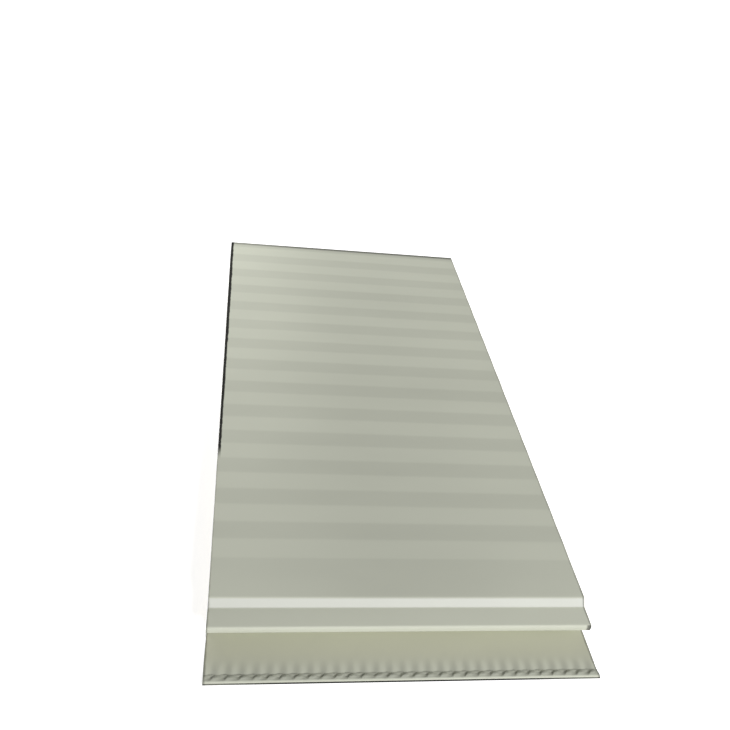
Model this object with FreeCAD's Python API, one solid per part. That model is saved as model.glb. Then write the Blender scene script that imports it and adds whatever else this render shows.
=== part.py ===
"""Cut sample of a thin metal-faced foam wall panel with a tongue-and-groove joint.

Three pieces are bonded into one: a roll-formed steel face sheet, a rigid foam core and a foil
back. The panel lies on its back. X runs along the roll-forming direction, Y across the cover
width with the nailing flange on the -Y side, and Z is up. The origin is on the back plane, in
the middle of the sample. Lengths are millimetres.

Sections are drawn with y = 0 at the near edge of the flat face and z = 0 on the back plane.
"""

import FreeCAD
import Part
import math
import os

# Whole panel
sample_length = 200.0
cover_width = 383.0
panel_thickness = 16.0
sheet = 0.3
foil = 0.15

# Waved face: low ridges that run along X, as many as fit between the two flat margins
wave_pitch = 25.5
wave_rise = 13.0
wave_depth = 0.3
wave_bend = 75.0
near_margin = 25.5
far_margin = 9.0

# Male edge: bevel, recess under the next panel's lip, nose, pocket and nailing flange
bevel_run = 3.3
bevel_drop = 3.7
bevel_bend = 2.0
bevel_foot_bend = 1.2
tongue_reach = 15.4
nose_height = 4.4
nose_bend = 1.1
pocket_root = 6.0
pocket_bend = 0.8
flange_reach = 38.3

# Folded-back hem of the flange: its raw edge slopes down to a crimped seam
hem_return = 5.3
hem_gap = 0.8
hem_slope_run = 2.2
hem_bend = 4.0
seam_height = 0.1
seam_width = 0.3

# Slanted dents pressed into the hem, each with a steep wall and a gentle ramp
first_dent = 5.7
dent_pitch = 6.57
dent_length = 4.0
dent_slant = 0.65
dent_wall = 0.6
dent_floor = 1.0
dent_ramp = 3.4
dent_end_run = 1.2

# Female edge: lip over the tongue, groove round the nose, hook in the pocket
joint_gap = 0.3
nose_gap = 0.5
lip_bend = 0.4
groove_bend = 0.5
hook_bend = 1.0
hook_return = 6.0
foil_lap = 6.0
rebate_clearance = 1.0

# Levels above the back plane
face_level = panel_thickness - wave_depth
flange_top = foil + sheet
tongue_top = face_level - bevel_drop
nose_under = tongue_top - nose_height
hem_level = flange_top + hem_gap
hem_top = hem_level + sheet
rebate_level = hem_top + joint_gap
hook_bottom = rebate_level + foil
hook_top = nose_under - joint_gap
lip_under = tongue_top + joint_gap
shoulder_bend = 0.6 * (face_level - lip_under)

# Places across the panel
hem_tip = hem_return - flange_reach
lip_end = cover_width - bevel_run - joint_gap
groove_wall = cover_width - tongue_reach - nose_gap
hook_end = cover_width - pocket_root - nose_gap
hook_tail = hook_end - hook_return
rebate_start = cover_width - flange_reach - rebate_clearance
middle = (lip_end - flange_reach) / 2


def section_point(y, z):
    """A point of a section, in the plane x = 0."""
    return FreeCAD.Vector(0, y - middle, z)


def mitred(corners, offset):
    """The corners moved by `offset` to the right of the travel direction, with their bends.

    Each corner is (y, z, inside bend radius). A bend's radius grows on its outer side.
    """
    points = [section_point(y, z) for y, z, _ in corners]
    travel = [(b - a).normalize() for a, b in zip(points, points[1:])]
    right = [FreeCAD.Vector(0, d.z, -d.y) for d in travel]
    moved = [(points[0] + right[0] * offset, 0.0)]
    for point, before, after, inside in zip(points[1:], right, right[1:], [c[2] for c in corners[1:]]):
        turn_right = before.cross(after).x < 0
        bisector = (before + after).normalize()
        reach = offset / math.cos(before.getAngle(after) / 2)
        outer = inside + sheet if inside else 0.0
        radius = outer - offset if turn_right else inside + offset
        moved.append((point + bisector * reach, radius if inside else 0.0))
    moved.append((points[-1] + right[-1] * offset, 0.0))
    return moved


def rail(corners, offset):
    """Straight runs joined by tangent arcs along one side of a bent strip."""
    moved = mitred(corners, offset)
    edges = []
    start = moved[0][0]
    for (before, _), (corner, radius), (after, _) in zip(moved, moved[1:], moved[2:]):
        inward = (before - corner).normalize()
        outward = (after - corner).normalize()
        half = (math.pi - inward.getAngle(outward)) / 2
        first = corner + inward * (radius * math.tan(half))
        last = corner + outward * (radius * math.tan(half))
        if (first - start).Length > 1e-6:
            edges.append(Part.LineSegment(start, first).toShape())
        if radius:
            to_centre = (inward + outward).normalize()
            crown = corner + to_centre * (radius / math.cos(half) - radius)
            edges.append(Part.Arc(first, crown, last).toShape())
        start = last
    edges.append(Part.LineSegment(start, moved[-1][0]).toShape())
    return edges


def ends(edges):
    """The first and the last point of a rail."""
    return edges[0].firstVertex().Point, edges[-1].lastVertex().Point


def extruded(edges):
    """The solid between the sample's two cut ends, from the edges of its closed section."""
    wire = Part.Wire(Part.__sortEdges__(edges))
    solid = Part.Face(wire).extrude(FreeCAD.Vector(sample_length, 0, 0))
    solid.translate(FreeCAD.Vector(-sample_length / 2, 0, 0))
    return solid


def strip(corners, thickness):
    """A bent strip with its painted side along the corners and its thickness to their right."""
    painted = rail(corners, 0)
    back = rail(corners, thickness)
    first, last = ends(painted)
    back_first, back_last = ends(back)
    caps = [Part.LineSegment(last, back_last).toShape(), Part.LineSegment(back_first, first).toShape()]
    return extruded(painted + back + caps)


def hem_corners():
    edge = sheet - flange_reach
    bend = hem_gap / 2
    return [
        (hem_tip, flange_top + seam_height, 0),
        (hem_tip - hem_slope_run, hem_level, hem_bend),
        (edge, hem_level, bend),
        (edge, flange_top, bend),
        (-pocket_root, flange_top, pocket_bend),
    ]


def male_corners():
    return [
        (-pocket_root, nose_under, pocket_bend),
        (-tongue_reach, nose_under, nose_bend),
        (-tongue_reach, tongue_top, nose_bend),
        (-bevel_run, tongue_top, bevel_foot_bend),
        (0, face_level, bevel_bend),
    ]


def wave_corners():
    room = lip_end - far_margin - near_margin - wave_rise
    corners = [(near_margin, face_level, wave_bend)]
    for wave in range(int(room // wave_pitch) + 1):
        start = near_margin + wave * wave_pitch
        if wave:
            corners.append((start, face_level, wave_bend))
        corners.append((start + wave_rise, face_level + wave_depth, wave_bend))
    return corners


def female_corners():
    return [
        (lip_end, face_level, shoulder_bend),
        (lip_end, lip_under, lip_bend),
        (groove_wall, lip_under, groove_bend),
        (groove_wall, hook_top, groove_bend),
        (hook_end, hook_top, hook_bend),
        (hook_end, hook_bottom, hook_bend),
        (hook_tail, hook_bottom, 0),
    ]


def foil_corners():
    return [
        (-pocket_root - foil_lap, 0, 0),
        (rebate_start - rebate_level, 0, 0),
        (rebate_start, rebate_level, 0),
        (hook_end - hook_bend - sheet, rebate_level, 0),
    ]


def block(floor, bottom, rim, top):
    """The solid between a level floor and a larger level rim, corner to corner."""
    low = [FreeCAD.Vector(x, y, bottom) for x, y in floor]
    high = [FreeCAD.Vector(x, y, top) for x, y in rim]
    sides = [[low[i - 1], low[i], high[i], high[i - 1]] for i in range(len(low))]
    faces = [Part.Face(Part.makePolygon(loop + loop[:1])) for loop in [low, high] + sides]
    return Part.Solid(Part.Shell(faces))


def prism(outline):
    """The solid along the whole sample on a section's outline of straight runs."""
    points = [section_point(y, z) for y, z in outline + outline[:1]]
    return extruded(Part.makePolygon(points).Edges)


def beyond_edge():
    """The space over the flange just past the hem's tip."""
    past = hem_tip + sheet
    return prism([(hem_tip, flange_top), (past, flange_top), (past, hem_top), (hem_tip, hem_top)])


def hem_cell(reach):
    """The space under the hem's fold, from its tip to `reach` behind the tip."""
    slope = (hem_gap - seam_height) / hem_slope_run
    knee = min(reach, hem_slope_run)
    outline = [(hem_tip - reach, flange_top), (hem_tip, flange_top), (hem_tip, flange_top + seam_height),
               (hem_tip - knee, flange_top + seam_height + knee * slope)]
    if reach > hem_slope_run:
        outline.append((hem_tip - reach, hem_level))
    return prism(outline)


def dent(x, shift, overrun):
    """The hollow of one dent, lowered by `shift`, whose steep wall meets the hem's tip at x.

    It is open towards the panel, runs `overrun` past the tip, and ends in a slope near the fold.
    """
    tip = hem_tip - middle
    heel = tip - dent_length
    foot = heel + dent_end_run
    mouth = tip + overrun

    def across(y, low, high):
        along = x + (y - tip) * dent_slant
        return [(along + low, y), (along + high, y)]

    wall_top = dent_wall / 2
    ramp_foot = -wall_top - dent_floor
    ramp_top = ramp_foot - dent_ramp
    rim = across(heel, ramp_top, wall_top) + across(mouth, ramp_top, wall_top)[::-1]
    floor = across(foot, ramp_foot, -wall_top) + across(mouth, ramp_foot, -wall_top)[::-1]
    return block(floor, flange_top + sheet - shift, rim, hem_top - shift)


def dent_places():
    """Where the steep walls meet the tip, from the first dent to the last that cuts the hem."""
    reach = dent_wall / 2 + dent_floor + dent_ramp + dent_length * dent_slant
    count = int((sample_length - first_dent + reach) // dent_pitch) + 1
    return [first_dent + i * dent_pitch - sample_length / 2 for i in range(count)]


def face_sheet():
    """One strip from the hem round the face to the hook, with the hem's raw edge cut square.

    The hem is closed along its seam and pressed down in the dents.
    """
    path = hem_corners() + male_corners() + wave_corners() + female_corners()
    bent = strip(path, sheet)
    seam = hem_cell(seam_width)
    cell = hem_cell(dent_length)
    pressed = [dent(x, sheet, 0).common(cell) for x in dent_places()]
    hollows = [dent(x, 0, sheet) for x in dent_places()]
    return bent.fuse(pressed + [seam]).cut(hollows + [beyond_edge()]).removeSplitter()


def foam_core():
    """Foam that fills the section between the sheet and the foil."""
    foot = [(-pocket_root, foil, 0)]
    against_sheet = rail(foot + male_corners() + wave_corners() + female_corners(), sheet)
    against_foil = rail(foil_corners(), -foil)[1:]
    foot_point, tail_point = ends(against_sheet)
    tail_foot = section_point(hook_tail, hook_bottom)
    step, level = against_foil[0], against_foil[1]
    edges = against_sheet + [
        Part.LineSegment(tail_point, tail_foot).toShape(),
        Part.LineSegment(tail_foot, level.firstVertex().Point).toShape(),
        step,
        Part.LineSegment(step.firstVertex().Point, foot_point).toShape(),
    ]
    return extruded(edges)


def back_foil():
    """Foil over the foam's back, lapped under the flange and under the hook."""
    return strip(foil_corners(), -foil)


os.makedirs("parts", exist_ok=True)
for name, make in (("face_sheet", face_sheet), ("foam_core", foam_core), ("back_foil", back_foil)):
    shape = make()
    shape.exportStep("parts/" + name + ".step")
    print(name, len(shape.Solids), "solid", shape.isValid(), round(shape.Volume, 1), "mm3")
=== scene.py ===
# %% [markdown]
# # A cut sample of an insulated siding panel
# The real object is a thin building panel: a painted steel face sheet, roll-formed to a tongue
# on one long edge and to a grooved lip on the other, filled with rigid foam and closed with foil.
# The sample lies on its back with its nailing flange towards the viewer.
#
# The engineering model gives every main form. This script loads it as a fixed frame, then
# dresses it: a face sheet with its crimped hem in full relief, a sawn foam core, a crinkled foil
# back, and a finish for each. Lengths in the cells are millimetres, and `MM` turns them to metres.

# %% Load the frame
import bpy
import bmesh
import math
from mathutils import Matrix, Vector, noise


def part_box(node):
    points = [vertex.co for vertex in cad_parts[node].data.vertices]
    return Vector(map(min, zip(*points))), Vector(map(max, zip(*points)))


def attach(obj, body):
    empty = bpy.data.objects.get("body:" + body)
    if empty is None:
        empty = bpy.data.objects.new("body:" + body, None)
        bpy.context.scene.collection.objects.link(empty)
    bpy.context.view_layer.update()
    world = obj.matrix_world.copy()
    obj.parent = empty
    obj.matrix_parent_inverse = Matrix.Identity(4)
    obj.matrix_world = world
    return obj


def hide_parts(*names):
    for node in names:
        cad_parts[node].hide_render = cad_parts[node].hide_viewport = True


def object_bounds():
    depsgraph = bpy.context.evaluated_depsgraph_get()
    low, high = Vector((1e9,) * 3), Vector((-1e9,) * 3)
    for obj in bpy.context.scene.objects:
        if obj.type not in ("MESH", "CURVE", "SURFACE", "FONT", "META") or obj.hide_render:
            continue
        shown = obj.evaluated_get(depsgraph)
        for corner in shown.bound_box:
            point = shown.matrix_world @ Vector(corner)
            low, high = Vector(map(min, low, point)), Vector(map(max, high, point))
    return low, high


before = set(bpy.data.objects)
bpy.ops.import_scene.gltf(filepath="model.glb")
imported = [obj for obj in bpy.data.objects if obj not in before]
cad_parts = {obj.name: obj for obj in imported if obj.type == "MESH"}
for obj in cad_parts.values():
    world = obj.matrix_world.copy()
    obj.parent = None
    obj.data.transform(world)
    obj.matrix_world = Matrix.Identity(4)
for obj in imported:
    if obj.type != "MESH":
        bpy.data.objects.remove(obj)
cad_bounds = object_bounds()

MM = 0.001
for name in sorted(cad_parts):
    low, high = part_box(name)
    print(name, "size mm", [round(v / MM, 2) for v in high - low])

# %% [markdown]
# ## The section, as the roll former makes it
# The face sheet is one strip of steel bent along straight lines, so the whole sheet follows from
# one list of corners, each with the inside radius of its bend. It could be sculpted instead, but
# a swept section keeps each land flat and each bend round, as rollers do.
#
# The section is drawn from y = 0, the near edge of the flat face, and z = 0, the back plane.

# %% Sizes of the whole sheet
SHEET = 0.3
LENGTH = 200.0
FACE = 15.7
WAVE_PITCH, WAVE_RISE, WAVE_DEPTH, WAVE_BEND = 25.5, 13.0, 0.3, 75.0
NEAR_MARGIN, WAVES = 25.5, 14
print(WAVES, "waves reach to y =", NEAR_MARGIN + (WAVES - 1) * WAVE_PITCH + WAVE_RISE)

# %% Sizes of the two joint edges
BEVEL_RUN, TONGUE_TOP, NOSE_UNDER, TONGUE_REACH = 3.3, 12.0, 7.6, 15.4
BEVEL_BEND, BEVEL_FOOT_BEND, NOSE_BEND, POCKET_BEND = 2.0, 1.2, 1.1, 0.8
POCKET_ROOT, FLANGE_TOP, FLANGE_REACH = 6.0, 0.45, 38.3
LIP_END, LIP_UNDER, GROOVE_WALL = 379.4, 12.3, 367.1
SHOULDER_BEND, LIP_BEND, GROOVE_BEND, HOOK_BEND = 2.04, 0.4, 0.5, 1.0
HOOK_TOP, HOOK_BOTTOM, HOOK_END, HOOK_TAIL = 7.3, 2.0, 376.5, 370.5
MIDDLE = (LIP_END - FLANGE_REACH) / 2

low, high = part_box("face_sheet")
print("section", round(LIP_END + FLANGE_REACH, 2), "of", round((high.y - low.y) / MM, 2), "mm wide")

# %% Corners from the flange to the hook
RIPPLE_END = -23.0      # the flange is flat from here on, past the ripples beside its hem
sheet_corners = [
    (RIPPLE_END, FLANGE_TOP, 0), (-POCKET_ROOT, FLANGE_TOP, POCKET_BEND),
    (-POCKET_ROOT, NOSE_UNDER, POCKET_BEND), (-TONGUE_REACH, NOSE_UNDER, NOSE_BEND),
    (-TONGUE_REACH, TONGUE_TOP, NOSE_BEND), (-BEVEL_RUN, TONGUE_TOP, BEVEL_FOOT_BEND),
    (0, FACE, BEVEL_BEND),
]
for wave in range(WAVES):
    start = NEAR_MARGIN + wave * WAVE_PITCH
    sheet_corners += [(start, FACE, WAVE_BEND), (start + WAVE_RISE, FACE + WAVE_DEPTH, WAVE_BEND)]
sheet_corners += [
    (LIP_END, FACE, SHOULDER_BEND), (LIP_END, LIP_UNDER, LIP_BEND),
    (GROOVE_WALL, LIP_UNDER, GROOVE_BEND), (GROOVE_WALL, HOOK_TOP, GROOVE_BEND),
    (HOOK_END, HOOK_TOP, HOOK_BEND), (HOOK_END, HOOK_BOTTOM, HOOK_BEND),
    (HOOK_TAIL, HOOK_BOTTOM, 0),
]
print(len(sheet_corners), "corners")


# %% Bend a strip along its corners
def strip_rails(corners, thickness, turn_step=math.radians(12), run_step=1.0):
    """Pairs of points on the painted side and on the back of a bent strip.

    The painted side is on the left of the travel, and a positive turn is to the right.
    """
    points = [Vector((y, z)) for y, z, _ in corners]
    travel = [(b - a).normalized() for a, b in zip(points, points[1:])]
    right = [Vector((d.y, -d.x)) for d in travel]
    rails = [(points[0], points[0] + right[0] * thickness)]
    for i, (_, _, inside) in enumerate(corners[1:-1], start=1):
        turn = travel[i - 1].angle_signed(travel[i])
        outward = 1 if turn > 0 else -1
        painted = inside + thickness if turn > 0 else inside
        bisector = (right[i - 1] + right[i]).normalized()
        centre = points[i] + bisector * (outward * painted / math.cos(turn / 2))
        spoke = -outward * right[i - 1]
        steps = max(math.ceil(abs(turn) / turn_step), math.ceil(painted * abs(turn) / run_step))
        for step in range(steps + 1):
            arm = Matrix.Rotation(-turn * step / steps, 2) @ spoke
            rails.append((centre + arm * painted, centre + arm * (painted - outward * thickness)))
    rails.append((points[-1], points[-1] + right[-1] * thickness))
    return rails


def row_point(x, section):
    """A section point at x, in millimetres, as a point of the frame in metres."""
    return Vector((x, section[0] - MIDDLE, section[1])) * MM


rails = strip_rails(sheet_corners, SHEET)
print(len(rails), "pairs of points across the sheet")

# %% [markdown]
# ## The crimped hem
# The edge of the flange is folded back on itself and pressed down in a row of slanted dents, so
# that the fold stays shut and the edge is stiff. Each dent has a gentle ramp on its left and a
# steep wall on its right, and the blows leave faint ripples in the flange beside them.
#
# A displaced texture would only fake the shadows. Here each cross-section of the hem is worked
# out at its own place along the edge, and neighbouring sections are joined into one mesh.

# %% Sizes of the fold
HEM_TIP, HEM_GAP = -33.0, 0.8                       # its raw edge, and its height inside
FOLD_TOP, FOLD_FRONT = -36.8, SHEET - FLANGE_REACH  # where its bead starts, and its inner front
CREASE = 0.03                                       # inside radius at the foot of the bead
CREASE_CENTRE = (FOLD_FRONT + CREASE, FLANGE_TOP + CREASE)
TIP_LIFT, TIP_SLOPE, LEAST_LIFT = 0.05, 2.6, 0.02   # the raw edge nearly touches the flange
TIP_SHEET, TIP_TAPER = 0.12, 0.9                    # the rollers thin the raw edge
print("the fold is", round(HEM_TIP - FOLD_FRONT, 2), "mm wide inside")


# %% A soft step
def smooth(value, start, end):
    """0 before start and 1 after end, with a soft change between."""
    t = min(1.0, max(0.0, (value - start) / (end - start)))
    return t * t * (3 - 2 * t)


print("soft step at its quarters", [smooth(v, 0, 4) for v in range(5)])

# %% Dents
DENT_PITCH, FIRST_DENT, DENT_SLANT, DENT_DEPTH = 6.575, 5.7, 0.6, 0.55
DENT_RAMP, DENT_WALL = (-5.0, -1.2), (-0.6, 0.5)    # along the edge, from the dent's own place
DENT_REACH, DENT_END = 4.2, 2.4                     # back from the raw edge, and its end slope
DENT_SHIFT, MEAN_PRESS, PRESS_CHANGE = 0.25, 0.92, 0.3     # no two blows are quite the same


def dent_press(x, y):
    """How far a place is pressed down by the nearest dent: 1 on its floor, 0 on the crown."""
    along = x + LENGTH / 2 - FIRST_DENT - (y - HEM_TIP) * DENT_SLANT
    tooth = math.floor(along / DENT_PITCH + 0.5)
    uneven = noise.noise(Vector((tooth * 3.7, 1.3, 0.0)))
    place = along - tooth * DENT_PITCH + DENT_SHIFT * uneven
    this_dent = (1 - smooth(place, *DENT_WALL)) * smooth(place, *DENT_RAMP)
    next_ramp = smooth(place - DENT_PITCH, *DENT_RAMP)
    return max(this_dent, next_ramp) * (MEAN_PRESS + PRESS_CHANGE * uneven)


print(int((LENGTH - FIRST_DENT) / DENT_PITCH) + 1, "steep walls along the edge")


# %% Height and thickness of the fold
def hem_lift(x, y):
    """Height of the fold's inner side over the flange."""
    back = HEM_TIP - y
    if y < FOLD_TOP:
        reach = (FOLD_TOP - y) / (FOLD_TOP - FOLD_FRONT)
        crown = CREASE + (HEM_GAP - CREASE) * math.sqrt(max(0.0, 1 - reach * reach))
    else:
        crown = TIP_LIFT + (HEM_GAP - TIP_LIFT) * smooth(back, 0.0, TIP_SLOPE)
    sunk = DENT_DEPTH * smooth(DENT_REACH - back, 0.0, DENT_END) * dent_press(x, y)
    return max(LEAST_LIFT, crown - sunk)


def hem_sheet(y):
    """Thickness of the fold, which the rollers thin at its raw edge."""
    return TIP_SHEET + (SHEET - TIP_SHEET) * smooth(HEM_TIP - y, 0.0, TIP_TAPER)


for place, x in (("crown", 7 - LENGTH / 2), ("dent's floor", 3.5 - LENGTH / 2)):
    print("lift on a", place, round(hem_lift(x, -35.2), 2), "mm")

# %% Ripples in the flange
RIPPLE_DEPTH, RIPPLE_CREST, RIPPLE_FADE = 0.14, 0.3, 1.5
UNDER_FOLD = (-36.0, -34.0)     # the ripples start under the fold, out of sight


def ripple(x, y):
    """Height of the ripples in the flange beside the hem."""
    swell = smooth(-y, RIPPLE_FADE - RIPPLE_END, -HEM_TIP)
    turn = 2 * math.pi * (x + LENGTH / 2 - RIPPLE_CREST) / DENT_PITCH
    return RIPPLE_DEPTH * swell * math.cos(turn) * smooth(y, *UNDER_FOLD)


print("ripple on a crest", round(ripple(RIPPLE_CREST - LENGTH / 2, HEM_TIP), 2), "mm")

# %% Rows of one cross-section
FOLD_STEPS, BEAD_STEPS = 28, 8
HIDDEN_ROWS, RIPPLE_ROWS, ROW_STEP = (-36.0, -34.5, -33.5), 14, 0.7


def fold_rows(x):
    """Pairs of points, inside and outside, from the raw edge to the front of the bead."""
    foot, rise = CREASE_CENTRE[1], HEM_GAP - CREASE
    pairs = []
    for step in range(FOLD_STEPS):
        y = HEM_TIP + (FOLD_FRONT - HEM_TIP) * math.sin(math.pi / 2 * step / FOLD_STEPS)
        past = max(0.0, (FOLD_TOP - y) / (FOLD_TOP - FOLD_FRONT))
        inner = FLANGE_TOP + hem_lift(x, y)
        outer = foot + (inner - foot) * (rise + SHEET) / rise if past else inner + hem_sheet(y)
        pairs.append(((y, inner), (y - SHEET * past, outer)))
    return pairs


def bead_rows():
    """The quarter turn from the front of the bead to the underside of the flange."""
    turns = [math.radians(180 + 90 * step / BEAD_STEPS) for step in range(BEAD_STEPS + 1)]
    return [tuple((CREASE_CENTRE[0] + math.cos(turn) * r, CREASE_CENTRE[1] + math.sin(turn) * r)
                  for r in (CREASE, CREASE + SHEET)) for turn in turns]


def flange_rows(x):
    """The flange under the fold and beside it, to the end of the ripples."""
    open_rows = tuple(HEM_TIP + ROW_STEP * i for i in range(RIPPLE_ROWS))
    levels = [(y, FLANGE_TOP + ripple(x, y)) for y in HIDDEN_ROWS + open_rows + (RIPPLE_END,)]
    return [((y, top), (y, top - SHEET)) for y, top in levels]


def hem_section(x):
    """Pairs of points from the fold's raw edge, round the bead, to the end of the ripples."""
    return fold_rows(x) + bead_rows() + flange_rows(x)


print(len(hem_section(0.0)), "pairs of points across the hem")

# %% [markdown]
# ## The saw cuts
# The sample is sawn from a long panel, and a saw wanders a little, so neither cut end is quite
# straight or square. Cutting the finished mesh with a wavy blade would leave slivers in a sheet
# this thin. It is enough to shift the end points of the section, each by its own small distance,
# and always inwards, so that the sample doesn't grow.

# %% Where the sheet ends
CUT_INSET, CUT_WANDER, WANDER_LENGTH = 0.12, 0.1, 20.0
LEFT_INSET = 0.4                                    # the left cut, from the tongue to the far lip
FLANGE_CUT, TONGUE_CUT = (-30, -15), (-16, -8)      # where the left cut leaves the full length


def saw_cut(side, y):
    """Where the sheet's cut end is at y, on the left for -1 and on the right for 1."""
    shake = CUT_INSET + CUT_WANDER * noise.noise(Vector((y / WANDER_LENGTH, side * 5.0, 2.0)))
    if side > 0:
        return LENGTH / 2 - shake
    return shake * smooth(y, *FLANGE_CUT) + LEFT_INSET * smooth(y, *TONGUE_CUT) - LENGTH / 2


for place, y in (("flange", -35), ("tongue", -10), ("far lip", 370)):
    print("the left cut at the", place, "is at x =", round(saw_cut(-1, y), 2))

# %% [markdown]
# ## One mesh for the whole sheet
# The hem needs many cross-sections to show its dents, and the rest of the sheet only a few. A
# subdivision surface would spend as many faces on the flat face as on the dents. So the two are
# made at their own spacing, and flat faces on the flange join the fine sections to the coarse.
#
# The sheet has three finishes: paint outside, a back coat inside and bare steel where it is cut.

# %% Points of the sheet
CELLS, SKIP = 608, 38               # fine cells along the hem, and how many make a coarse one
PAINTED, COATED, BARE = 0, 1, 2     # the order of the sheet's finishes


def placed(mesh, x, section):
    """A new point of a cross-section at x, moved to the saw cut if that is a cut end."""
    if abs(x) == LENGTH / 2:
        x = saw_cut(2 * x / LENGTH, section[0])
    return mesh.verts.new(row_point(x, section))


def sheet_points(mesh):
    """The hem's fine rows of points and the coarse rows of the rest."""
    stations = [-LENGTH / 2 + LENGTH * i / CELLS for i in range(CELLS + 1)]
    hem = [[[placed(mesh, x, p) for p in pair] for pair in hem_section(x)] for x in stations]
    form = [[[placed(mesh, x, p) for p in pair] for pair in rails[1:]] for x in stations[::SKIP]]
    return hem, form


print("fine sections", CELLS + 1, "coarse sections", CELLS // SKIP + 1)


# %% Both sides of the sheet
def patch(mesh, corners, finish):
    """One face with its finish."""
    face = mesh.faces.new(corners)
    face.material_index = finish
    face.smooth = True


def skins(mesh, grid):
    """The painted side and the back between neighbouring sections."""
    for here, there in zip(grid, grid[1:]):
        for a, b, c, d in zip(here, here[1:], there, there[1:]):
            patch(mesh, (a[0], c[0], d[0], b[0]), PAINTED)
            patch(mesh, (a[1], b[1], d[1], c[1]), COATED)


def bridge(mesh, hem, form):
    """Flat faces on the flange, from the fine sections to the coarse ones."""
    for cell in range(len(form) - 1):
        row = [section[-1] for section in hem[cell * SKIP:(cell + 1) * SKIP + 1]]
        near, far = form[cell][0], form[cell + 1][0]
        patch(mesh, [pair[0] for pair in row] + [far[0], near[0]], PAINTED)
        patch(mesh, [pair[1] for pair in reversed(row)] + [near[1], far[1]], COATED)


print("each flat face on the flange is", round(LENGTH * SKIP / CELLS, 2), "mm long")


# %% Bare edges of the sheet
def sawn_end(mesh, section, right_end):
    """The cut steel across one end of the sheet."""
    for a, b in zip(section, section[1:]):
        corners = (a[0], b[0], b[1], a[1])
        patch(mesh, corners[::-1] if right_end else corners, BARE)


def slit_edge(mesh, grid, row):
    """The slit steel along the hem's raw edge, row 0, or along the hook's tail, row -1."""
    for here, there in zip(grid, grid[1:]):
        corners = (here[row][0], here[row][1], there[row][1], there[row][0])
        patch(mesh, corners if row == 0 else corners[::-1], BARE)


print("bare edges are", SHEET, "mm thick, and", TIP_SHEET, "mm at the hem's raw edge")

# %% Join the sections into the sheet
SHARP_BEND = math.radians(38)       # a steeper turn between two faces stays a sharp edge


def make_face_sheet():
    mesh = bmesh.new()
    hem, form = sheet_points(mesh)
    skins(mesh, hem)
    skins(mesh, form)
    bridge(mesh, hem, form)
    sawn_end(mesh, hem[0] + form[0], False)
    sawn_end(mesh, hem[-1] + form[-1], True)
    slit_edge(mesh, hem, 0)
    slit_edge(mesh, form, -1)
    data = bpy.data.meshes.new("painted_face_sheet")
    mesh.normal_update()
    mesh.to_mesh(data)
    mesh.free()
    data.set_sharp_from_angle(angle=SHARP_BEND)
    return bpy.data.objects.new("painted_face_sheet", data)


face_sheet = make_face_sheet()
bpy.context.scene.collection.objects.link(face_sheet)
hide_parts("face_sheet")
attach(face_sheet, "root")
print("face sheet", len(face_sheet.data.polygons), "faces")

# %% [markdown]
# ## How the finishes are made
# A plain colour would look like plastic, so each finish here varies a little in tone, in
# roughness and in height. That could come from image files, but a script that draws its own
# noise needs none, and it can set the marks at the size of the real ones.
#
# The helpers below add shader nodes in few words: first any node, then noise, then masks.

# %% New finishes and nodes
def new_finish(name):
    """An empty finish, with its node tree and its main shader."""
    finish = bpy.data.materials.new(name)
    finish.use_nodes = True
    tree = finish.node_tree
    return finish, tree, tree.nodes["Principled BSDF"]


def node(tree, kind, inputs=None, **settings):
    """A new node: each of its inputs is linked to a socket, or set to a plain value."""
    made = tree.nodes.new(kind)
    for key, value in settings.items():
        setattr(made, key, value)
    for key, value in (inputs or {}).items():
        if isinstance(value, bpy.types.NodeSocket):
            tree.links.new(value, made.inputs[key])
        else:
            made.inputs[key].default_value = value
    return made


def finished(piece, finish):
    """Gives a piece its next finish and says how many nodes that finish has."""
    piece.data.materials.append(finish)
    print(piece.name, "gets", finish.name, "with", len(finish.node_tree.nodes), "nodes")


print("made the helpers new_finish, node and finished")


# %% Noise, ranges and relief
def grain(tree, size, detail=2.0, stretch=(1, 1, 1)):
    """Noise from 0 to 1 whose spots are about `size` millimetres across."""
    place = node(tree, "ShaderNodeTexCoord").outputs["Object"]
    scaled = node(tree, "ShaderNodeMapping", {"Vector": place, "Scale": stretch}).outputs[0]
    return node(tree, "ShaderNodeTexNoise", {"Vector": scaled, "Scale": 1 / (size * MM),
                                             "Detail": detail}).outputs["Fac"]


def spread(tree, value, low, high, start=0.3, end=0.7, kind="SMOOTHSTEP"):
    """Maps a value between start and end to low and high."""
    return node(tree, "ShaderNodeMapRange", {"Value": value, "From Min": start, "From Max": end,
                                             "To Min": low, "To Max": high},
                interpolation_type=kind).outputs["Result"]


def bumped(tree, height, distance, strength=1.0):
    """Fine relief, up to `distance` millimetres high."""
    return node(tree, "ShaderNodeBump", {"Height": height, "Distance": distance * MM,
                                         "Strength": strength}).outputs["Normal"]


print("spots of 5 mm take a noise scale of", round(1 / (5 * MM)))


# %% Sums and masks
def joined(tree, a, b, how="MULTIPLY"):
    """Two values put together by a sum, a product or another operation."""
    return node(tree, "ShaderNodeMath", {0: a, 1: b}, operation=how).outputs[0]


def product(tree, first, *others):
    """All the values multiplied."""
    for other in others:
        first = joined(tree, first, other)
    return first


def rising(tree, value, start, end):
    """A mask that goes from 0 to 1 as the value goes from start to end."""
    return spread(tree, value, 0.0, 1.0, start, end)


def falling(tree, value, start, end):
    """A mask that goes from 1 to 0 as the value goes from start to end."""
    return spread(tree, value, 1.0, 0.0, start, end)


def toned(tree, mask, tone):
    """A factor for the paint's tone: 1 where the mask is 0, and `tone` where it is 1."""
    return spread(tree, mask, 1.0, tone, 0.0, 1.0, "LINEAR")


print("made the helpers joined, product, rising, falling and toned")


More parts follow.
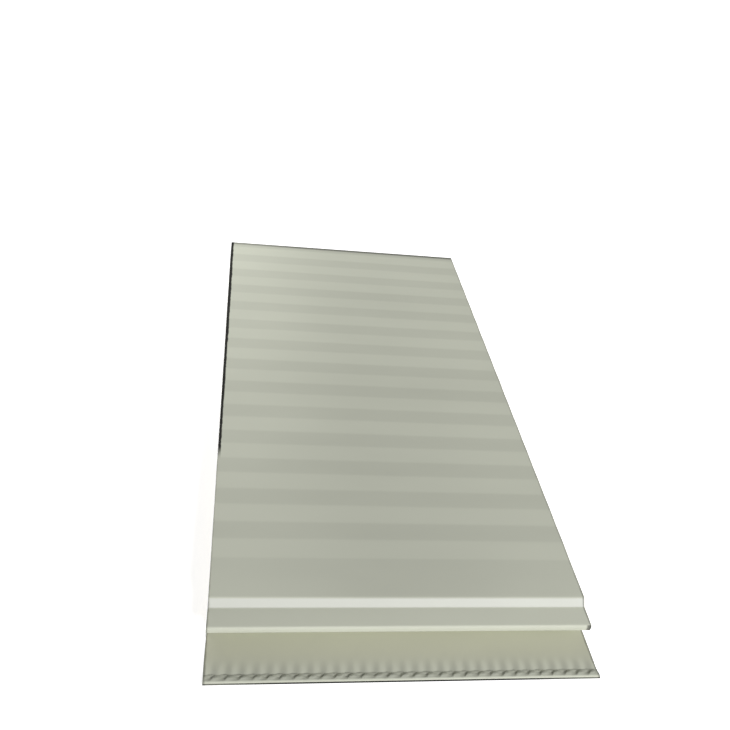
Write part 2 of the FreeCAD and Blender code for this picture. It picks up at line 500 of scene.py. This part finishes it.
# %% Places on the sample
def places(tree):
    """How far along, across and up a place is, in the millimetres of the section."""
    place = node(tree, "ShaderNodeTexCoord").outputs["Object"]
    scaled = node(tree, "ShaderNodeMapping", {"Vector": place, "Scale": (1 / MM,) * 3,
                                              "Location": (0, MIDDLE, 0)}).outputs[0]
    return node(tree, "ShaderNodeSeparateXYZ", {0: scaled}).outputs


def from_middle(tree):
    """Distance along the sample from its middle."""
    return joined(tree, places(tree)["X"], 0.0, "ABSOLUTE")


print("masks run from y =", -FLANGE_REACH, "at the hem to y =", LIP_END, "at the far lip")

# %% [markdown]
# ## Painted light and shade along the edges
# The paint is darker beside the two cuts. A painted shadow lies along the left cut and in front of
# the bead, painted shade on the far lip and the nose's tip, and painted light on the bead's top,
# the tongue and the bevel.
#
# This could be painted by hand on an image. Here every mark is a mask made from places on the
# sample, so it follows the form and keeps its size. Each mask gives a factor for the paint's tone,
# and the factors are multiplied in the end.
#
# Not every mark is certain. Some tones, most of all those of the face, the bevel and the tongue,
# were set so that the sample looks like the real one under the lights of this scene. Those are
# painted light and shade, not soil.

# %% Darker paint beside the two cuts
RAGGED, RAGGED_SPOT = 0.35, 5       # how far the border of a mark wanders, and how often
# the paint is made darker beside both cuts, most on the flange
CUT_DARK_START, CUT_DARK_END = 0.5, 1.5     # in from the cut
CUT_DARK_ON_FLANGE, CUT_DARK_ON_FACE, CUT_DARK_CHANGE = 0.5, 0.72, (-5, 20)


def ragged(tree):
    """A small shift of a mark's border, in millimetres."""
    return spread(tree, grain(tree, RAGGED_SPOT, 4.0), -RAGGED, RAGGED, 0.2, 0.8, "LINEAR")


def darker_beside_cuts(tree):
    """Tone beside both cuts, which is darker on the flange than on the face."""
    inward = joined(tree, LENGTH / 2, from_middle(tree), "SUBTRACT")
    least = spread(tree, places(tree)["Y"], CUT_DARK_ON_FLANGE, CUT_DARK_ON_FACE, *CUT_DARK_CHANGE)
    uneven = joined(tree, inward, ragged(tree), "ADD")
    return spread(tree, uneven, least, 1.0, CUT_DARK_START, CUT_DARK_END)


print("darkening fade between", CUT_DARK_START, "and", CUT_DARK_END, "mm from the cuts")

# %% A painted shadow along the left cut
# a painted shadow along the far part of the left cut
STREAK_START, STREAK_NARROWING = (100, 112), (130, 260)
STREAK_BORDER, STREAK_NARROWER, STREAK_TONE = (2.4, 3.0), 0.5, 0.02


def painted_left_shadow(tree):
    """Tone along the far part of the left cut: a painted shadow that gets wider towards the far
    lip.
    """
    along, across, _ = places(tree)
    from_left = joined(tree, joined(tree, along, LENGTH / 2, "ADD"), ragged(tree), "ADD")
    narrower = spread(tree, across, STREAK_NARROWER, 0.0, *STREAK_NARROWING)
    dirt = falling(tree, joined(tree, from_left, narrower, "ADD"), *STREAK_BORDER)
    return toned(tree, joined(tree, dirt, rising(tree, across, *STREAK_START)), STREAK_TONE)


print("the streak is up to", STREAK_BORDER[1], "mm wide")

# %% A painted shadow in front of the bead, and a painted highlight on its top
BEAD_FRONT, BEAD_SIDE, BEAD_TOP = (1.1, 1.25), (-37.3, -36.9), (-37.0, -36.5)
# a painted shadow in front of the bead, and a painted highlight on its top
BEAD_SHADOW_TONE, BEAD_HIGHLIGHT_TONE = 0.01, 1.17
BEAD_SHADOW_THINS, THIN_BEAD_SHADOW = (60, 92), 0.8     # towards the two cuts


def bead_shade_and_highlight(tree):
    """Tone of the fold's bead: a painted shadow in front, and a painted highlight on its top."""
    _, across, height = places(tree)
    front = product(tree, falling(tree, height, *BEAD_FRONT), falling(tree, across, *BEAD_SIDE),
                    spread(tree, from_middle(tree), 1.0, THIN_BEAD_SHADOW, *BEAD_SHADOW_THINS))
    top = spread(tree, across, BEAD_HIGHLIGHT_TONE, 1.0, *BEAD_TOP)
    return joined(tree, toned(tree, front, BEAD_SHADOW_TONE), top)


print("painted_shadow lies below", BEAD_FRONT[1], "mm on the bead")

# %% Painted shade on the far lip
LIP_MARGIN, LIP_BORDER, LIP_SKIN = (12, 6), (6.4, 3.2), (13.3, 14.3)    # before its end, and up
# painted shade on the far lip's top and on the face before it
MARGIN_TONE, LIP_SHADE_LEFT, LIP_SHADE_RIGHT, LIP_SHADE_CHANGE = 0.93, 0.5, 0.3, (-85, -35)


def far_lip_shade(tree):
    """Tone of the face near the far lip, with painted shade on the lip's top, less on the left."""
    along, across, height = places(tree)
    margin = spread(tree, across, 1.0, MARGIN_TONE, *(LIP_END - before for before in LIP_MARGIN))
    shaded = spread(tree, along, LIP_SHADE_LEFT, LIP_SHADE_RIGHT, *LIP_SHADE_CHANGE)
    shaded_top = spread(tree, across, 1.0, shaded, *(LIP_END - before for before in LIP_BORDER))
    top = rising(tree, height, *LIP_SKIN)
    lip = node(tree, "ShaderNodeMix", {0: top, 2: 1.0, 3: shaded_top}).outputs[0]
    return joined(tree, margin, lip)


print("the lip is worn over its last", LIP_BORDER[1], "mm")

# %% The tongue, the bevel and the nose
BEVEL_FOOT, BEVEL_HEAD = (-3.6, -3.2), (-0.6, 0.2)
# painted light on the tongue and the bevel, and painted shade at the nose's right tip
TONGUE_SKIN, TONGUE_LIGHT, BEVEL_LIGHT = (11.2, 11.9), 1.09, 1.1
NOSE_SKIN, NOSE_FRONT, NOSE_TIP, NOSE_TIP_SHADE = (5, 6), (-14.9, -14.4), (96.9, 98.3), 0.3


def on_bevel(tree):
    """1 on the bevel, between the tongue and the face."""
    across = places(tree)["Y"]
    return joined(tree, rising(tree, across, *BEVEL_FOOT), falling(tree, across, *BEVEL_HEAD))


def near_edge_light_and_shade(tree):
    """Tone of the near edge: painted light on its tongue and bevel, painted shade at one tip of the
    nose.
    """
    along, across, height = places(tree)
    tongue = joined(tree, rising(tree, height, *TONGUE_SKIN), falling(tree, across, *BEVEL_FOOT))
    tip_shade = product(tree, rising(tree, height, *NOSE_SKIN), falling(tree, across, *NOSE_FRONT),
                    rising(tree, along, *NOSE_TIP))
    return product(tree, toned(tree, tongue, TONGUE_LIGHT), toned(tree, on_bevel(tree), BEVEL_LIGHT),
                   toned(tree, tip_shade, NOSE_TIP_SHADE))


print("the darkened tip is", round(LENGTH / 2 - NOSE_TIP[0], 1), "mm long")

# %% [markdown]
# ## Satin paint with its rolled bands
# Coil-coated steel is painted flat before it is bent, so its coat is even, with a satin gloss and
# a faint orange peel. The low waves of the face show as soft bands, because light falls on their
# slopes at another angle. The waves are real in the mesh, but only 0.3 mm high, so their near
# slopes also get a little painted light, and the flat face gets painted light and shade too.
#
# One finish could be set for each land of the section. One finish for the whole sheet, with masks
# for its lands, has no seams between them.

# %% Painted light on the waves' near slopes
# painted light on the near slopes of the waves
SLOPE_LIGHT, BAND_BORDER = 1.06, (5.5, 7.5)       # the border is measured from the slope's middle
BANDS_START = (NEAR_MARGIN - 4, NEAR_MARGIN - 3)


def painted_slope_light(tree):
    """Painted light on the waves' near slopes, from the first wave on."""
    across = places(tree)["Y"]
    shifted = joined(tree, across, NEAR_MARGIN + WAVE_RISE / 2, "SUBTRACT")
    away = joined(tree, shifted, WAVE_PITCH / 2, "PINGPONG")
    band = spread(tree, away, SLOPE_LIGHT, 1.0, *BAND_BORDER)
    waved = rising(tree, across, *BANDS_START)
    return node(tree, "ShaderNodeMix", {0: waved, 2: 1.0, 3: band}).outputs[0]


print("bands start at y =", BANDS_START[1])

# %% Painted light and shade on the ripples and on the flat face
# painted light and shade on the two sides of each ripple
RIPPLE_SHADE, RIPPLE_LIGHT, RIPPLE_SHADE_OUTER, RIPPLE_SHADE_INNER = 0.945, 1.045, (-34, -33), (-31, -24)
# painted light towards the cuts and the far lip, and painted shade in the middle of the face
FACE_SKIN, TO_MIDDLE, TO_RIGHT, TO_FAR = (15.0, 15.5), (-90, 0), (20, 90), (0, 300)
LEFT_TONE, MIDDLE_TONE, RIGHT_TONE, FAR_TONE = 1.1, 0.97, 1.05, 1.06


def ripple_light_and_shade(tree):
    """Tone of the ripples beside the hem: painted light and shade on the two sides of each."""
    along, across, _ = places(tree)
    from_crest = joined(tree, along, LENGTH / 2 - RIPPLE_CREST, "ADD")
    turn = joined(tree, from_crest, 2 * math.pi / DENT_PITCH)
    wave = product(tree, joined(tree, turn, 0.0, "SINE"), falling(tree, across, *RIPPLE_SHADE_INNER),
                   rising(tree, across, *RIPPLE_SHADE_OUTER))
    return spread(tree, wave, RIPPLE_SHADE, RIPPLE_LIGHT, -1.0, 1.0, "LINEAR")


def painted_face_light(tree):
    """Tone of the flat face: painted light towards its two cuts and the far lip, painted shade in
    its middle.
    """
    along, across, height = places(tree)
    lit = product(tree, spread(tree, along, LEFT_TONE, MIDDLE_TONE, *TO_MIDDLE),
                    spread(tree, along, 1.0, RIGHT_TONE, *TO_RIGHT),
                    spread(tree, across, 1.0, FAR_TONE, *TO_FAR, "LINEAR"))
    face = rising(tree, height, *FACE_SKIN)
    return node(tree, "ShaderNodeMix", {0: face, 2: 1.0, 3: lit}).outputs[0]


print("ripple_shading changes the tone by up to", round((RIPPLE_LIGHT - RIPPLE_SHADE) / 2, 3))

# %% Colours of the paint
PAINT = (0.555, 0.57, 0.48)
WARM_TINT, WARM_HEIGHT, WARM_START = (1.045, 1.025, 0.955), (3, 4), (-36, -20)
# the bevel's whiter tint is a painted highlight
BEVEL_HIGHLIGHT_TINT = (1.01, 1.0, 1.09)


def tinted(colour, tint):
    """A colour with each of its three parts changed by a factor."""
    return (*(part * change for part, change in zip(colour, tint)), 1)


def dyed(tree, mask, plain, marked, how="MIX"):
    """One colour where the mask is 0, and another where it is 1."""
    return node(tree, "ShaderNodeMix", {"Factor": mask, "A": plain, "B": marked},
                data_type="RGBA", blend_type=how).outputs["Result"]


def paint_colour(tree, colour):
    """The paint, a little warmer on the flange, and whiter on the bevel as a painted highlight."""
    _, across, height = places(tree)
    flange = joined(tree, falling(tree, height, *WARM_HEIGHT), rising(tree, across, *WARM_START))
    warmed = dyed(tree, flange, (*colour, 1), tinted(colour, WARM_TINT))
    return dyed(tree, on_bevel(tree), warmed, tinted(colour, BEVEL_HIGHLIGHT_TINT))


print("paint", PAINT, "on the flange", [round(part, 3) for part in tinted(PAINT, WARM_TINT)[:3]])

# %% Satin paint
UNEVEN_SPOT, UNEVEN_TONE = 60, (0.975, 1.025)   # wide soft spots, longer along the sheet
LOW_GLOSS = 0.1                                 # so that a grazing light doesn't whiten the face
GLOSS_SPOT, PAINT_ROUGH = 18, (0.62, 0.72)
PEEL_SPOT, PEEL_HEIGHT = 1.1, 0.004             # the orange peel


def satin_paint(name, colour, outside):
    """Coil paint with its painted light and shade. Only its outer side has that of waves, ripples
    and face.
    """
    finish, tree, shader = new_finish(name)
    tone = spread(tree, grain(tree, UNEVEN_SPOT, 3.0, (0.4, 1, 1)), *UNEVEN_TONE)
    if outside:
        tone = product(tree, tone, painted_slope_light(tree), ripple_light_and_shade(tree), painted_face_light(tree))
    tone = product(tree, tone, darker_beside_cuts(tree), painted_left_shadow(tree), bead_shade_and_highlight(tree), far_lip_shade(tree),
                   near_edge_light_and_shade(tree))
    coat = dyed(tree, 1.0, paint_colour(tree, colour), tone, "MULTIPLY")
    tree.links.new(coat, shader.inputs["Base Color"])
    shader.inputs["Specular IOR Level"].default_value = LOW_GLOSS
    rough = spread(tree, grain(tree, GLOSS_SPOT, 3.0), *PAINT_ROUGH)
    tree.links.new(rough, shader.inputs["Roughness"])
    tree.links.new(bumped(tree, grain(tree, PEEL_SPOT), PEEL_HEIGHT), shader.inputs["Normal"])
    return finish


finished(face_sheet, satin_paint("satin_coil_paint", PAINT, True))
finished(face_sheet, satin_paint("back_coat", PAINT, False))

# %% [markdown]
# ## Bare steel where the sheet is cut
# The saw and the slitting rollers cut through the paint, and leave a bright line of steel as thin
# as the sheet, with fine scratches across it. A light grey paint would do from afar, but only
# metal changes its tone as the sample is turned.

# %% Sawn steel
SCRATCH_SPOT, SCRATCH_STRETCH, STEEL_TONE = 0.6, (1, 1, 6), (0.35, 0.62)
STEEL_SPOT, STEEL_ROUGH = 0.4, (0.3, 0.5)


def cut_steel(name):
    finish, tree, shader = new_finish(name)
    shader.inputs["Metallic"].default_value = 1.0
    shade = spread(tree, grain(tree, SCRATCH_SPOT, 3.0, SCRATCH_STRETCH), *STEEL_TONE)
    grey = node(tree, "ShaderNodeCombineColor", {0: shade, 1: shade, 2: shade}).outputs[0]
    tree.links.new(grey, shader.inputs["Base Color"])
    tree.links.new(spread(tree, grain(tree, STEEL_SPOT), *STEEL_ROUGH), shader.inputs["Roughness"])
    return finish


finished(face_sheet, cut_steel("sawn_steel_edge"))

# %% [markdown]
# ## The foam core
# Rigid foam is foamed between the two skins and fills the whole section, and a saw leaves its two
# ends open. The blade tears some bubbles out and leaves faint tooth marks across the thickness.
#
# A bump map alone would leave a flat, clean end. The core's own section is kept instead, its two
# ends are cut into a fine grid, and each point of the grid is sunk by tooth marks and torn pits.

# %% Cut the ends of the core into a grid
END_GRID, END_FACING = 1.0, 0.99


def end_faces(mesh):
    """The faces of the two ends, with their edges and points."""
    faces = [f for f in mesh.faces if abs(f.normal.x) > END_FACING]
    edges = {e for f in faces for e in f.edges}
    points = {v for f in faces for v in f.verts}
    return list(points) + list(edges) + faces


def gridded_core():
    """A copy of the core whose ends are cut along level and upright lines."""
    mesh = bmesh.new()
    mesh.from_mesh(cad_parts["foam_core"].data)
    bmesh.ops.remove_doubles(mesh, verts=mesh.verts, dist=0.001 * MM)
    bmesh.ops.dissolve_limit(mesh, angle_limit=math.radians(0.5), verts=mesh.verts,
                             edges=mesh.edges)
    mesh.normal_update()
    low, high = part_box("foam_core")
    for axis in (2, 1):
        cuts = int((high[axis] - low[axis]) / (END_GRID * MM))
        for cut in range(1, cuts):
            level = Vector((0, 0, 0))
            level[axis] = low[axis] + (high[axis] - low[axis]) * cut / cuts
            way = Vector((0, 0, 0))
            way[axis] = 1
            bmesh.ops.bisect_plane(mesh, geom=end_faces(mesh), dist=1e-7, plane_co=level,
                                   plane_no=way)
    return mesh


core_mesh = gridded_core()
print("core", len(core_mesh.faces), "faces")

# %% How deep the blade tore
TORN_EVERYWHERE, LEFT_DEEPER = 0.5, 0.7
PIT_DEPTH, PIT_SIZE, PIT_BORDER = 0.5, (2.6, 2.2), (0.42, 0.3)
TOOTH_DEPTH, TOOTH_TURN, RUBBLE = 0.1, 2.1, 0.12
PATCH_SPOT, SWAY_SPOT, RUBBLE_SPOT = 9, 14, 1.7


def torn(place):
    """How deep the blade tore the foam at a place on the end, in millimetres."""
    cell = Vector((place.y / PIT_SIZE[0], place.z / PIT_SIZE[1], place.x)) / MM
    bubble = noise.voronoi(cell)[0][0]
    patchy = smooth(noise.noise(place / (PATCH_SPOT * MM)), -0.1, 0.25)
    pit = PIT_DEPTH * smooth(PIT_BORDER[0] - bubble, 0.0, PIT_BORDER[1]) * patchy
    sway = 2 * noise.noise(place / (SWAY_SPOT * MM))
    teeth = TOOTH_DEPTH + TOOTH_DEPTH * math.sin(place.y / MM * TOOTH_TURN + sway)
    return TORN_EVERYWHERE + pit + teeth + RUBBLE * noise.noise(place / (RUBBLE_SPOT * MM))


low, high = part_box("foam_core")
samples = [torn(Vector((high.x, y * MM, 0.007))) for y in range(-150, 151)]
print("torn", round(min(samples), 2), "to", round(max(samples), 2), "mm deep on the right end")


# %% Tear the sawn ends
def make_core(mesh):
    ends = {v for f in mesh.faces if abs(f.normal.x) > END_FACING for v in f.verts}
    for point in ends:
        side = 1 if point.co.x > 0 else -1
        deeper = LEFT_DEEPER if side < 0 else 0.0
        point.co.x -= side * (torn(point.co) + deeper) * MM
    for face in mesh.faces:
        face.smooth = False
    data = bpy.data.meshes.new("sawn_foam_core")
    mesh.to_mesh(data)
    mesh.free()
    return bpy.data.objects.new("sawn_foam_core", data)


foam_core = make_core(core_mesh)
bpy.context.scene.collection.objects.link(foam_core)
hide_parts("foam_core")
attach(foam_core, "root")
print("foam core", len(foam_core.data.polygons), "faces")

# %% [markdown]
# ## Cut foam
# Cut foam is a field of opened bubbles under a millimetre wide. It is the colour of straw, darker
# in the bubbles, and daylight browns it in patches. Modelling each bubble would take millions of
# faces, and they are too small to change the outline, so a cell pattern gives their tone, their
# roughness and their relief, and a little light is let into the foam's walls.

# %% Sawn foam
BUBBLE, BUBBLE_RELIEF, AGED_SPOT = 0.7, 0.3, 22
DARK_FOAM, PALE_FOAM = (0.62, 0.47, 0.24, 1), (0.84, 0.75, 0.50, 1)
LIGHT_SHARE, LIGHT_REACH = 0.05, (0.002, 0.0015, 0.001)     # light let in, and how far in metres


def sawn_foam(name):
    finish, tree, shader = new_finish(name)
    place = node(tree, "ShaderNodeTexCoord").outputs["Object"]
    cells = node(tree, "ShaderNodeTexVoronoi", {"Vector": place,
                                                "Scale": 1 / (BUBBLE * MM)}).outputs["Distance"]
    opened = spread(tree, cells, 0.0, 0.6, 0.0, 0.8)
    patchy = spread(tree, grain(tree, AGED_SPOT, 4.0), 0.0, 0.4)
    ramp = node(tree, "ShaderNodeValToRGB", {"Fac": joined(tree, opened, patchy, "ADD")})
    ramp.color_ramp.elements[0].color = DARK_FOAM
    ramp.color_ramp.elements[1].color = PALE_FOAM
    tree.links.new(ramp.outputs["Color"], shader.inputs["Base Color"])
    tree.links.new(spread(tree, cells, 0.95, 0.75), shader.inputs["Roughness"])
    shader.inputs["Subsurface Weight"].default_value = LIGHT_SHARE
    shader.inputs["Subsurface Radius"].default_value = LIGHT_REACH
    shader.inputs["Subsurface Scale"].default_value = 1.0
    tree.links.new(bumped(tree, cells, BUBBLE_RELIEF, 0.8), shader.inputs["Normal"])
    return finish


finished(foam_core, sawn_foam("sawn_foam"))

# %% [markdown]
# ## The foil back
# The back is a thin foil that is rolled onto the wet foam. It wrinkles as the foam sets, and it
# steps up near the far edge to leave room for the next panel's flange.
#
# A flat plate with a bump map reads as plastic when it is seen along its length, so the foil is a
# fine mesh on its own corners, pushed into the foam by creases that cross each other.

# %% Sizes of the foil
FOIL, FOIL_STEP = 0.15, 1.8
REBATE_START, REBATE_LEVEL = 343.7, 1.85
foil_corners = [(-12.0, 0.0), (REBATE_START - REBATE_LEVEL, 0.0),
                (REBATE_START, REBATE_LEVEL), (375.2, REBATE_LEVEL)]
CREASE_DEPTH, LONG_FOLD, FINE_FOLD = 0.1, 17, 6     # the folds by the size of their noise


def crease(x, y):
    """How far the foil is pushed into the foam, from 0 to 0.1 mm."""
    here = Vector((x, y, 0.0))
    fold = 1 - abs(2 * noise.noise(here / LONG_FOLD + Vector((3, 1, 0))))
    fine = 1 - abs(2 * noise.noise(here / FINE_FOLD + Vector((7, 9, 2))))
    return CREASE_DEPTH * max(0.0, min(1.0, 0.65 * fold ** 3 + 0.45 * fine ** 4))


print("deepest of 100 places", round(max(crease(x, 0) for x in range(-50, 50)), 3), "mm")


# %% Places across the foil
def foil_rows():
    """Places along the foil's section: the outer point and the way into the foam."""
    rows = []
    for (y0, z0), (y1, z1) in zip(foil_corners, foil_corners[1:]):
        run = Vector((y1 - y0, z1 - z0))
        inward = Vector((-run.y, run.x)).normalized()
        steps = max(2, round(run.length / FOIL_STEP))
        first = 1 if rows else 0
        rows += [(y0 + run.x * i / steps, z0 + run.y * i / steps, inward)
                 for i in range(first, steps + 1)]
    return rows


def foil_points(mesh):
    """A grid of pairs of points, on the creased outer side and on the side against the foam."""
    columns = round(LENGTH / FOIL_STEP)
    rows = foil_rows()
    grid = []
    for x in [-LENGTH / 2 + LENGTH * i / columns for i in range(columns + 1)]:
        line = []
        for y, z, inward in rows:
            sunk = crease(x, y)
            line.append([mesh.verts.new(row_point(x, (y + inward.x * depth, z + inward.y * depth)))
                         for depth in (sunk, FOIL)])
        grid.append(line)
    return grid


print(len(foil_rows()), "places across the foil")


# %% Join the foil
SHARP_STEP = math.radians(60)


def make_foil():
    mesh = bmesh.new()
    grid = foil_points(mesh)
    for here, there in zip(grid, grid[1:]):
        for a, b, c, d in zip(here, here[1:], there, there[1:]):
            mesh.faces.new((a[0], b[0], d[0], c[0])).smooth = True
            mesh.faces.new((a[1], c[1], d[1], b[1])).smooth = True
    rims = [(grid[0], False), (grid[-1], True)]
    rims += [([line[0] for line in grid], True), ([line[-1] for line in grid], False)]
    for line, flip in rims:
        for a, b in zip(line, line[1:]):
            loop = (a[0], a[1], b[1], b[0])
            mesh.faces.new(loop[::-1] if flip else loop)
    bmesh.ops.recalc_face_normals(mesh, faces=mesh.faces)
    data = bpy.data.meshes.new("creased_foil")
    mesh.to_mesh(data)
    mesh.free()
    data.set_sharp_from_angle(angle=SHARP_STEP)
    return bpy.data.objects.new("creased_foil", data)


back_foil = make_foil()
bpy.context.scene.collection.objects.link(back_foil)
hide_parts("back_foil")
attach(back_foil, "root")
print("foil", len(back_foil.data.polygons), "faces")

# %% [markdown]
# ## Crinkled foil
# The foil is bright metal, dulled a little by handling, with wrinkles finer than the creases of
# its mesh. A mirror would be too clean, so its roughness changes from place to place, and a faint
# relief breaks up what it reflects.

# %% Foil finish
FOIL_TONE, FOIL_ROUGH, FOIL_RELIEF = (0.7, 0.82), (0.28, 0.42), 0.05
TONE_SPOT, ROUGH_SPOT, WRINKLE_SPOT = 40, 6, 2.5


def crinkled_foil(name):
    finish, tree, shader = new_finish(name)
    shader.inputs["Metallic"].default_value = 1.0
    shade = spread(tree, grain(tree, TONE_SPOT, 3.0), *FOIL_TONE)
    grey = node(tree, "ShaderNodeCombineColor", {0: shade, 1: shade, 2: shade}).outputs[0]
    tree.links.new(grey, shader.inputs["Base Color"])
    rough = spread(tree, grain(tree, ROUGH_SPOT, 4.0), *FOIL_ROUGH)
    tree.links.new(rough, shader.inputs["Roughness"])
    wrinkles = bumped(tree, grain(tree, WRINKLE_SPOT, 4.0), FOIL_RELIEF)
    tree.links.new(wrinkles, shader.inputs["Normal"])
    return finish


finished(back_foil, crinkled_foil("crinkled_foil"))

# %% [markdown]
# ## The floor
# The sample lies on a plain white ground. A white floor that is lit up to white would need so
# much light that the pale paint clips too. So the floor glows a little, but only for the rays
# that the camera and glossy surfaces send out. It lights nothing, and it still takes the
# sample's soft shadow.

# %% White floor
FLOOR_REACH, FLOOR_GLOW = 4.0, 0.74
FLOOR_COLOUR, FLOOR_ROUGH = (0.9, 0.9, 0.9, 1), 0.8


def seen_or_mirrored(tree):
    """1 for rays from the camera and from glossy surfaces, and 0 for rays that gather light."""
    ray = node(tree, "ShaderNodeLightPath").outputs
    return joined(tree, ray["Is Camera Ray"], ray["Is Glossy Ray"], "MAXIMUM")


def make_floor():
    mesh = bmesh.new()
    bmesh.ops.create_grid(mesh, x_segments=4, y_segments=4, size=FLOOR_REACH)
    data = bpy.data.meshes.new("floor")
    mesh.to_mesh(data)
    mesh.free()
    floor = bpy.data.objects.new("floor", data)
    bpy.context.scene.collection.objects.link(floor)
    finish, tree, shader = new_finish("floor_white")
    shader.inputs["Base Color"].default_value = FLOOR_COLOUR
    shader.inputs["Roughness"].default_value = FLOOR_ROUGH
    glow = joined(tree, seen_or_mirrored(tree), FLOOR_GLOW)
    white = node(tree, "ShaderNodeEmission", {"Strength": glow}).outputs[0]
    both = node(tree, "ShaderNodeAddShader", {0: shader.outputs[0], 1: white})
    tree.links.new(both.outputs[0], tree.nodes["Material Output"].inputs["Surface"])
    finished(floor, finish)
    return floor


floor = make_floor()
floor.location.z = cad_bounds[0][2]
print("floor at z =", round(floor.location.z / MM, 3), "mm")

# %% [markdown]
# ## Light
# One broad sun, low in front and a little to the right, models the bevel, the nose and the dents,
# and leaves most of the pocket in shade. Two soft boxes lift the far left and the near right
# corners. A single large box could light it all, but its shadows would be too soft to show dents
# this shallow.
#
# The world adds a low grey from all round, and is white only where it is looked at or mirrored.

# %% Sun
def towards(heading, height):
    """The way to a light, by its heading clockwise from +Y and its height, in degrees."""
    a, e = math.radians(heading), math.radians(height)
    return Vector((math.sin(a) * math.cos(e), math.cos(a) * math.cos(e), math.sin(e)))


def hung(name, light, way):
    """A light object that shines from the given way."""
    made = bpy.data.objects.new(name, light)
    made.rotation_euler = way.to_track_quat("Z", "Y").to_euler()
    bpy.context.scene.collection.objects.link(made)
    print(name, "power", round(light.energy, 2), "place", [round(part, 2) for part in way])
    return made


SUN_HEADING, SUN_HEIGHT, SUN_WIDTH, SUN_POWER = 152, 27.5, 14, 3.0
sun = bpy.data.lights.new("key_light", "SUN")
sun.energy, sun.angle = SUN_POWER, math.radians(SUN_WIDTH)
hung("key_light", sun, towards(SUN_HEADING, SUN_HEIGHT))


# %% Soft boxes
def soft_box(name, aim, heading, height, distance, size, power):
    """A square soft light, `distance` metres from aim on a heading and at a height."""
    panel = bpy.data.lights.new(name, "AREA")
    panel.shape, panel.size, panel.energy = "SQUARE", size, power
    way = towards(heading, height)
    hung(name, panel, way).location = aim + way * distance


soft_box("far_light", Vector((-0.13, 0.14, 0)), -25, 35, 0.45, 0.3, 1.1)
soft_box("right_light", Vector((0.1, -0.2, 0)), 120, 35, 0.4, 0.25, 0.46)

# %% World
WORLD_LIGHT, WORLD_WHITE = 0.12, 1.0


def make_world():
    world = bpy.data.worlds.new("studio")
    bpy.context.scene.world = world
    world.use_nodes = True
    tree = world.node_tree
    level = spread(tree, seen_or_mirrored(tree), WORLD_LIGHT, WORLD_WHITE, 0.0, 1.0, "LINEAR")
    tree.links.new(level, tree.nodes["Background"].inputs["Strength"])
    tree.nodes["Background"].inputs["Color"].default_value = (1, 1, 1, 1)


make_world()
print("world light", WORLD_LIGHT)

# %% [markdown]
# ## Camera
# The camera stands in front of the sample's left end and looks down across it, so that the joint
# edge is near and the face runs away. It could track an empty object, but a place, a heading, a
# dip and a roll say the same in four plain values.

# %% Place the camera
SENSOR, FOCAL_LENGTH, NEAREST, FARTHEST = 36.0, 39.09, 0.01, 20.0
CAMERA_PLACE = (-92.91, -425.30, 347.99)
HEADING, DIP, ROLL = 11.607, 35.379, 9.574      # degrees: clockwise from +Y, down, and leaning

lens = bpy.data.cameras.new("camera")
lens.sensor_width, lens.lens = SENSOR, FOCAL_LENGTH
lens.clip_start, lens.clip_end = NEAREST, FARTHEST
camera = bpy.data.objects.new("camera", lens)
bpy.context.scene.collection.objects.link(camera)
camera.matrix_world = (Matrix.Translation(Vector(CAMERA_PLACE) * MM)
                       @ Matrix.Rotation(math.radians(-HEADING), 4, "Z")
                       @ Matrix.Rotation(math.radians(90 - DIP), 4, "X")
                       @ Matrix.Rotation(math.radians(ROLL), 4, "Z"))
bpy.context.scene.camera = camera
bpy.context.scene.view_settings.view_transform = "Standard"
print("camera", round((Vector(CAMERA_PLACE) * MM).length, 3), "m from the middle of the sample")
